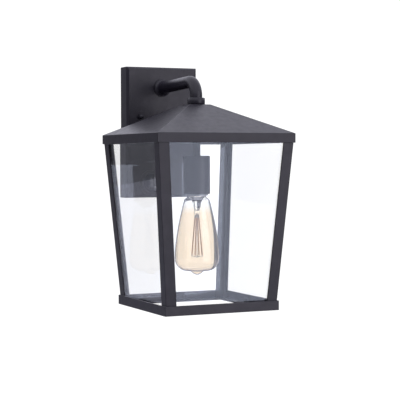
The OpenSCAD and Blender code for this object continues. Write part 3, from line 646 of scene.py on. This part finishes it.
class LANTERN_OT_panes(bpy.types.Operator):
    """Finish the four clear panes"""

    bl_idname = "lantern.panes"
    bl_label = "Panes"

    def execute(self, context):
        tint = tuple(context.scene.lantern_glass.pane_tint)
        paint_nodes(
            ["glass_front", "glass_rear", "glass_left", "glass_right"],
            clear_glass("clear pane glass", tint, 1.5, (0.80, 0.90, 1.0)),
        )
        return {"FINISHED"}


def bulb_outline(low, high, cap_end, shoulder_z):
    """The lamp glass's outline of (radius, height) pairs, from the neck down to the tip."""
    root, neck, shoulder, wide = 0.0124, 0.0140, 0.0175, (high[0] - low[0]) / 2
    body, swell, steps = 0.080, 1.6, 22
    corner, corner_z = 0.017, shoulder_z - body - 0.0025
    neck_z, base_z = cap_end - 0.0024, corner_z - corner
    lean = wide - shoulder
    outline = [
        (root, high[2]), (root, cap_end), (root + 0.0008, cap_end - 0.0012),
        (neck, neck_z), (neck + 0.0017, neck_z - 0.0013),
    ]
    for step in range(steps + 1):
        share = step / steps
        outline.append((wide - lean * (1 - share) ** swell, shoulder_z - body * share))
    outline += arc((wide - corner, corner_z), corner, 0.0, -80.0, 14)
    pip_z = base_z - 0.0009
    drop = (pip_z - low[2]) / 5
    outline += [(0.0105, base_z - 0.0003), (0.0088, pip_z)]
    outline += [
        (radius, pip_z - drop * share)
        for radius, share in ((0.0079, 1), (0.0064, 2.3), (0.0045, 3.6), (0.0024, 4.6), (0.0, 5))
    ]
    return outline


class LANTERN_OT_lamp(bpy.types.Operator):
    """Blow the lamp's amber glass and finish its cap"""

    bl_idname = "lantern.lamp"
    bl_label = "Lamp glass and cap"

    def execute(self, context):
        glass = context.scene.lantern_glass
        cap_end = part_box("lamp_cap")[0][2]
        shoulder_z = cap_end - 0.0050
        bm = bmesh.new()
        spin_outline(bm, bulb_outline(*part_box("lamp_glass"), cap_end, shoulder_z), 96, AXIS)
        amber = amber_glass(tuple(glass.lamp_tint), shoulder_z - 0.020, shoulder_z - 0.004)
        piece = new_mesh_piece(
            "blown_lamp_glass", bm, amber, "lamp", ("lamp_glass",), SEAMLESS
        )
        thickness = piece.modifiers.new("glass wall", "SOLIDIFY")
        thickness.thickness = glass.lamp_wall
        thickness.offset = -1.0
        thickness.use_even_offset = True
        thickness.use_rim = True

        metal = rolled_cap_metal()
        clean_piece("lamp_cap", "rolled_lamp_cap", metal, THREADED, "lamp")
        black = moulded("black cap glass", (0.012, 0.012, 0.014), (0.03, 0.03, 0.034), 0.15, 600.0)
        paint_nodes(["lamp_insulator"], black)
        paint_nodes(["lamp_contact"], made_once("stamped brass", stamped_brass))
        return {"FINISHED"}


class LANTERN_OT_sticks(bpy.types.Operator):
    """Mount the light sticks on their glass stem"""

    bl_idname = "lantern.sticks"
    bl_label = "Light sticks and stem"

    stick_radius = 0.00080
    crimp_radius = 0.0010
    joint_radius = 0.0006
    pin_radius = 0.0005
    wire_radius = 0.00033

    def execute(self, context):
        low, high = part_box("lamp_filaments")
        sticks, wires = bmesh.new(), bmesh.new()
        stem_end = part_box("lamp_stem")[0][2]
        end_reach = ((high[0] - low[0]) / 2 - self.stick_radius) * math.sqrt(2)
        for quarter in range(4):
            turn = math.radians(45 + 90 * quarter)
            side = Vector((math.cos(turn), math.sin(turn), 0.0))
            top = Vector((0.0, AXIS_Y, high[2])) + side * 0.0026
            end = Vector((0.0, AXIS_Y, low[2])) + side * end_reach
            self.stick(sticks, wires, top, end)
            stem_foot = Vector((0.0, AXIS_Y, stem_end + 0.001)) + side * 0.0011
            add_bar(wires, stem_foot, top, self.wire_radius, 8)
            add_bar(wires, Vector((0.0, AXIS_Y, low[2] - 0.0012)), end, self.wire_radius, 8)
        rod_foot = Vector((0.0, AXIS_Y, low[2] - 0.0016))
        rod_top = Vector((0.0, AXIS_Y, stem_end + 0.002))
        add_bar(wires, rod_foot, rod_top, self.pin_radius, 10)
        add_ball(wires, Vector((0.0, AXIS_Y, low[2] - 0.0014)), 0.0010)
        phosphor = phosphor_coat(tuple(context.scene.lantern_glass.stick_colour))
        new_mesh_piece(
            "phosphor_sticks", sticks, phosphor, "lamp", ("lamp_filaments",), DRAWN
        )
        zinc = made_once("zinc plated steel", zinc_plate)
        new_mesh_piece("stick_wires", wires, zinc, "lamp", ("lamp_supports",), DRAWN)
        self.stem()
        return {"FINISHED"}

    def stick(self, sticks, wires, top, end):
        """One rounded stick with a pin at each end and a crimp at its top."""
        along = (end - top).normalized()
        first, last = top + along * 0.0022, end - along * 0.0022
        add_bar(sticks, first, last, self.stick_radius, 16)
        for tip in (first, last):
            add_ball(sticks, tip, self.stick_radius)
        add_bar(wires, top - along * 0.0002, first, self.pin_radius, 8)
        add_bar(wires, top - along * 0.0012, top + along * 0.0028, self.crimp_radius, 12)
        add_bar(wires, last, end + along * 0.0002, self.pin_radius, 8)
        for joint in (end, top):
            add_ball(wires, joint, self.joint_radius)

    def stem(self):
        """The glass mount: a flare of (radius, drop) pairs, drawn down to a flat press."""
        low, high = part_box("lamp_stem")
        stem = bmesh.new()
        flare = [
            (0.0, 0.0), (0.0105, 0.0), (0.0113, 0.0005), (0.0108, 0.0014), (0.0088, 0.0032),
            (0.0070, 0.0056), (0.0059, 0.0085), (0.0053, 0.0120), (0.0049, 0.0152),
            (0.0041, 0.0176), (0.0028, 0.0194), (0.0, 0.0202),
        ]
        spin_outline(stem, [(radius, high[2] - drop) for radius, drop in flare], 48, AXIS)
        press = bmesh.ops.create_cube(stem, size=1.0)["verts"]
        depth = high[2] - 0.0165 - low[2]
        bmesh.ops.scale(stem, vec=(0.0072, 0.0028, depth), verts=press)
        bmesh.ops.translate(stem, vec=(0.0, AXIS_Y, low[2] + depth / 2), verts=press)
        edges = list({edge for vert in press for edge in vert.link_edges})
        bmesh.ops.bevel(
            stem, geom=edges, offset=0.0009, offset_type="OFFSET", segments=3, profile=0.5,
            affect="EDGES", clamp_overlap=True, material=-1,
        )
        glass = clear_glass("clear stem glass", (0.98, 0.99, 0.98), 1.35)
        new_mesh_piece("glass_stem", stem, glass, "lamp", ("lamp_stem",), DRAWN)


# ---- Socket ----


class LANTERN_OT_socket(bpy.types.Operator):
    """Finish the socket cup, its porcelain, its threaded shell and the seal ring"""

    bl_idname = "lantern.socket"
    bl_label = "Socket"

    def execute(self, context):
        clean_piece("socket_cup", "spun_socket_cup", coat())
        paint_nodes(["socket_body"], porcelain_glaze())
        brass = made_once("stamped brass", stamped_brass)
        clean_piece("socket_shell", "threaded_shell", brass, THREADED)
        paint_nodes(["socket_contact"], brass)
        silicone = moulded("grey silicone", (0.25, 0.26, 0.29), (0.33, 0.34, 0.37), 0.55, 1400.0)
        clean_piece(
            "lamp_seal_ring", "grey_seal_ring", silicone, body="seal_ring"
        )
        return {"FINISHED"}


# ---- Sensor and wiring ----


class LANTERN_OT_sensor(bpy.types.Operator):
    """Finish the light sensor on the backplate"""

    bl_idname = "lantern.sensor"
    bl_label = "Light sensor"

    def execute(self, context):
        black = moulded("black moulded plastic", (0.016, 0.016, 0.018), (0.03, 0.03, 0.033), 0.42)
        clean_piece("sensor_bezel", "sensor_bezel_ring", black)
        clean_piece("sensor_lens", "sensor_window_dome", smoked_window())
        paint_nodes(["sensor_body", "sensor_nut"], black)
        return {"FINISHED"}


class LANTERN_OT_wiring(bpy.types.Operator):
    """Finish the leads and the ribbed wire connectors"""

    bl_idname = "lantern.wiring"
    bl_label = "Wiring"

    def execute(self, context):
        for node, name, low, high in (
            ("line_lead", "black", (0.014, 0.014, 0.015), (0.03, 0.03, 0.032)),
            ("neutral_lead", "white", (0.70, 0.70, 0.66), (0.82, 0.82, 0.79)),
            ("ground_lead", "green", (0.02, 0.14, 0.05), (0.04, 0.24, 0.09)),
        ):
            insulation = moulded(name + " lead insulation", low, high, 0.4, 900.0)
            clean_piece(node, name + "_insulated_lead", insulation, THREADED)
        self.connectors()
        return {"FINISHED"}

    def connectors(self):
        """Twist-on connectors with ribs to grip and a flared skirt."""
        low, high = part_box("wire_connectors")
        foot_z, top_z, height = low[2], high[2], high[2] - low[2]
        radius = (high[1] - low[1]) / 2
        bore, bore_depth = 0.0016, 0.005
        outline = [
            (0.0, foot_z), (radius * 0.42, foot_z), (radius * 0.55, foot_z + 0.0006),
            (radius * 0.66, foot_z + 0.0020), (radius * 0.80, foot_z + height * 0.55),
            (radius * 0.97, foot_z + height * 0.62), (radius, top_z - 0.0010),
            (radius * 0.96, top_z), (bore, top_z), (bore, top_z - bore_depth),
            (0.0, top_z - bore_depth),
        ]
        bm = bmesh.new()
        for side in (-1, 1):
            centre = Vector((side * (high[0] - radius), (low[1] + high[1]) / 2, 0.0))
            part = bmesh.new()
            spin_outline(part, outline, 48, centre)
            for rib in range(12):
                turn = math.radians(30 * rib)
                out = Vector((math.cos(turn), math.sin(turn), 0.0))
                foot = centre + out * radius * 0.60 + Vector((0.0, 0.0, foot_z + 0.0018))
                head = centre + out * radius * 0.80 + Vector((0.0, 0.0, foot_z + height * 0.58))
                add_bar(part, foot, head, 0.00055, 8)
            whole = bpy.data.meshes.new("one connector")
            part.to_mesh(whole)
            part.free()
            bm.from_mesh(whole)
            bpy.data.meshes.remove(whole)
        plastic = moulded("connector plastic", (0.50, 0.16, 0.03), (0.62, 0.22, 0.05), 0.4)
        new_mesh_piece(
            "ribbed_connectors", bm, plastic, "root", ("wire_connectors",),
            FOLDED,
        )


# ---- Stage ----


def pale_as_seen(tree, lit_surface, seen_surface, output):
    """Shows one surface where it is seen, straight or through glass, and another elsewhere."""
    rays = tree.nodes.new("ShaderNodeLightPath")

    def combine(operation, first, second, clamped=True):
        """What a Math node makes of two values."""
        step = tree.nodes.new("ShaderNodeMath")
        step.operation = operation
        step.use_clamp = clamped
        tree.links.new(first, step.inputs[0])
        tree.links.new(second, step.inputs[1])
        return step.outputs["Value"]

    bounced = combine("ADD", rays.outputs["Glossy Depth"], rays.outputs["Diffuse Depth"])
    straight = combine("SUBTRACT", rays.outputs["Is Transmission Ray"], bounced)
    seen = combine("MAXIMUM", rays.outputs["Is Camera Ray"], straight, False)
    choice = tree.nodes.new("ShaderNodeMixShader")
    tree.links.new(seen, choice.inputs["Fac"])
    tree.links.new(lit_surface, choice.inputs[1])
    tree.links.new(seen_surface, choice.inputs[2])
    tree.links.new(choice.outputs["Shader"], output.inputs["Surface"])


class LANTERN_OT_stage(bpy.types.Operator):
    """Set the pale floor, the soft light and the camera"""

    bl_idname = "lantern.stage"
    bl_label = "Stage"

    def execute(self, context):
        stage = context.scene.lantern_stage
        self.floor(stage)
        self.sky(stage)
        self.key(stage)
        self.camera(stage)
        context.scene.view_settings.view_transform = "Standard"
        return {"FINISHED"}

    def floor(self, stage):
        """A broad pale floor below the lantern, which is no part of it."""
        bm = bmesh.new()
        bmesh.ops.create_grid(bm, x_segments=8, y_segments=8, size=9.0)
        level = cad_box[0][2] - stage.floor_drop
        bmesh.ops.translate(bm, vec=(0.0, AXIS_Y, level), verts=bm.verts)
        mesh = bpy.data.meshes.new("studio_floor")
        bm.to_mesh(mesh)
        bm.free()
        floor = bpy.data.objects.new("studio_floor", mesh)
        bpy.context.scene.collection.objects.link(floor)
        pale = Finish("pale studio floor")
        pale.colour(
            pale.tones(pale.noise(1.5), (0.3, (0.26, 0.26, 0.28)), (0.7, (0.30, 0.30, 0.32)))
        )
        pale.set(Roughness=0.8, Specular_IOR_Level=0.2)
        white = pale.nodes.new("ShaderNodeEmission")
        white.inputs["Color"].default_value = (1.0, 1.0, 1.0, 1.0)
        white.inputs["Strength"].default_value = SEEN_WHITE
        pale_as_seen(
            pale.material.node_tree, pale.surface.outputs["BSDF"], white.outputs["Emission"],
            pale.nodes["Material Output"],
        )
        mesh.materials.append(pale.material)

    def sky(self, stage):
        """A white surround as seen, and a room that is darker low down for what it lights."""
        world = bpy.data.worlds.new("white studio")
        world.use_nodes = True
        bpy.context.scene.world = world
        nodes, links = world.node_tree.nodes, world.node_tree.links
        nodes.clear()
        where = nodes.new("ShaderNodeTexCoord")
        parts = nodes.new("ShaderNodeSeparateXYZ")
        links.new(where.outputs["Generated"], parts.inputs["Vector"])
        ramp = nodes.new("ShaderNodeValToRGB")
        shift = nodes.new("ShaderNodeMapRange")
        shift.inputs["From Min"].default_value = -1.0
        shift.inputs["From Max"].default_value = 1.0
        links.new(parts.outputs["Z"], shift.inputs["Value"])
        links.new(shift.outputs["Result"], ramp.inputs["Fac"])
        level, high = stage.level_light, stage.sky_light
        stops = (
            (0.0, level * 0.8), (0.46, level), (0.56, level * 1.15), (0.66, high), (1.0, high * 1.1),
        )
        points = ramp.color_ramp.elements
        while len(points) < len(stops):
            points.new(0.5)
        for point, (position, value) in zip(points, stops):
            point.position = position
            point.color = (value * 0.97, value * 0.97, value * 1.10, 1.0)
        room = nodes.new("ShaderNodeBackground")
        links.new(ramp.outputs["Color"], room.inputs["Color"])
        white = nodes.new("ShaderNodeBackground")
        white.inputs["Color"].default_value = (1.0, 1.0, 1.0, 1.0)
        white.inputs["Strength"].default_value = SEEN_WHITE
        pale_as_seen(
            world.node_tree, room.outputs["Background"], white.outputs["Background"],
            nodes.new("ShaderNodeOutputWorld"),
        )

    def key(self, stage):
        """One large soft light at the front right, turned to the lantern."""
        target = Vector((0.0, AXIS_Y, -0.1))
        place = target + Vector((0.95, -1.75, -0.10))
        data = bpy.data.lights.new("soft key", "AREA")
        data.shape = "RECTANGLE"
        data.size = 1.5
        data.size_y = 1.9
        data.energy = stage.key_power
        data.color = (0.93, 0.90, 1.0)
        light = bpy.data.objects.new("soft_key", data)
        light.location = place
        light.rotation_euler = (target - place).to_track_quat("-Z", "Y").to_euler()
        light.visible_camera = False
        bpy.context.scene.collection.objects.link(light)

    def camera(self, stage):
        """A long lens at the front left, almost level with the lantern."""
        data = bpy.data.cameras.new("front left view")
        data.sensor_width = 36.0
        data.lens = stage.lens
        data.clip_end = 100.0
        camera = bpy.data.objects.new("front_left_view", data)
        yaw, pitch, roll = math.radians(24.86), math.radians(1.81), math.radians(0.19)
        camera.location = (-0.73547, -1.74483, -0.0649)
        turn = Matrix.Rotation(-yaw, 4, "Z") @ Matrix.Rotation(math.pi / 2 - pitch, 4, "X")
        turn = turn @ Matrix.Rotation(-roll, 4, "Z")
        camera.rotation_euler = turn.to_euler()
        bpy.context.scene.collection.objects.link(camera)
        bpy.context.scene.camera = camera


# ---- Panel ----

OPERATORS = (
    LANTERN_OT_backplate,
    LANTERN_OT_arm,
    LANTERN_OT_roof,
    LANTERN_OT_cage,
    LANTERN_OT_fixings,
    LANTERN_OT_panes,
    LANTERN_OT_lamp,
    LANTERN_OT_sticks,
    LANTERN_OT_socket,
    LANTERN_OT_sensor,
    LANTERN_OT_wiring,
    LANTERN_OT_stage,
)


class LANTERN_PT_panel(bpy.types.Panel):
    """Finishes of the wall lantern"""

    bl_idname = "LANTERN_PT_panel"
    bl_label = "Wall lantern"
    bl_space_type = "VIEW_3D"
    bl_region_type = "UI"
    bl_category = "Lantern"

    def draw(self, context):
        scene = context.scene
        for group in (scene.lantern_metal, scene.lantern_glass, scene.lantern_stage):
            box = self.layout.box()
            for name in group.__annotations__:
                box.prop(group, name)
        for operator in OPERATORS:
            self.layout.operator(operator.bl_idname)


GROUPS = (
    ("lantern_metal", LanternMetal),
    ("lantern_glass", LanternGlass),
    ("lantern_stage", LanternStage),
)


def register():
    for name, group in GROUPS:
        bpy.utils.register_class(group)
        setattr(bpy.types.Scene, name, bpy.props.PointerProperty(type=group))
    for operator in OPERATORS:
        bpy.utils.register_class(operator)
    bpy.utils.register_class(LANTERN_PT_panel)


def unregister():
    bpy.utils.unregister_class(LANTERN_PT_panel)
    for operator in reversed(OPERATORS):
        bpy.utils.unregister_class(operator)
    for name, group in reversed(GROUPS):
        delattr(bpy.types.Scene, name)
        bpy.utils.unregister_class(group)


def main():
    register()
    for operator in OPERATORS:
        group, name = operator.bl_idname.split(".")
        wanted(
            getattr(getattr(bpy.ops, group), name)() == {"FINISHED"},
            f"{operator.bl_label} didn't finish",
        )


if __name__ == "__main__":
    main()
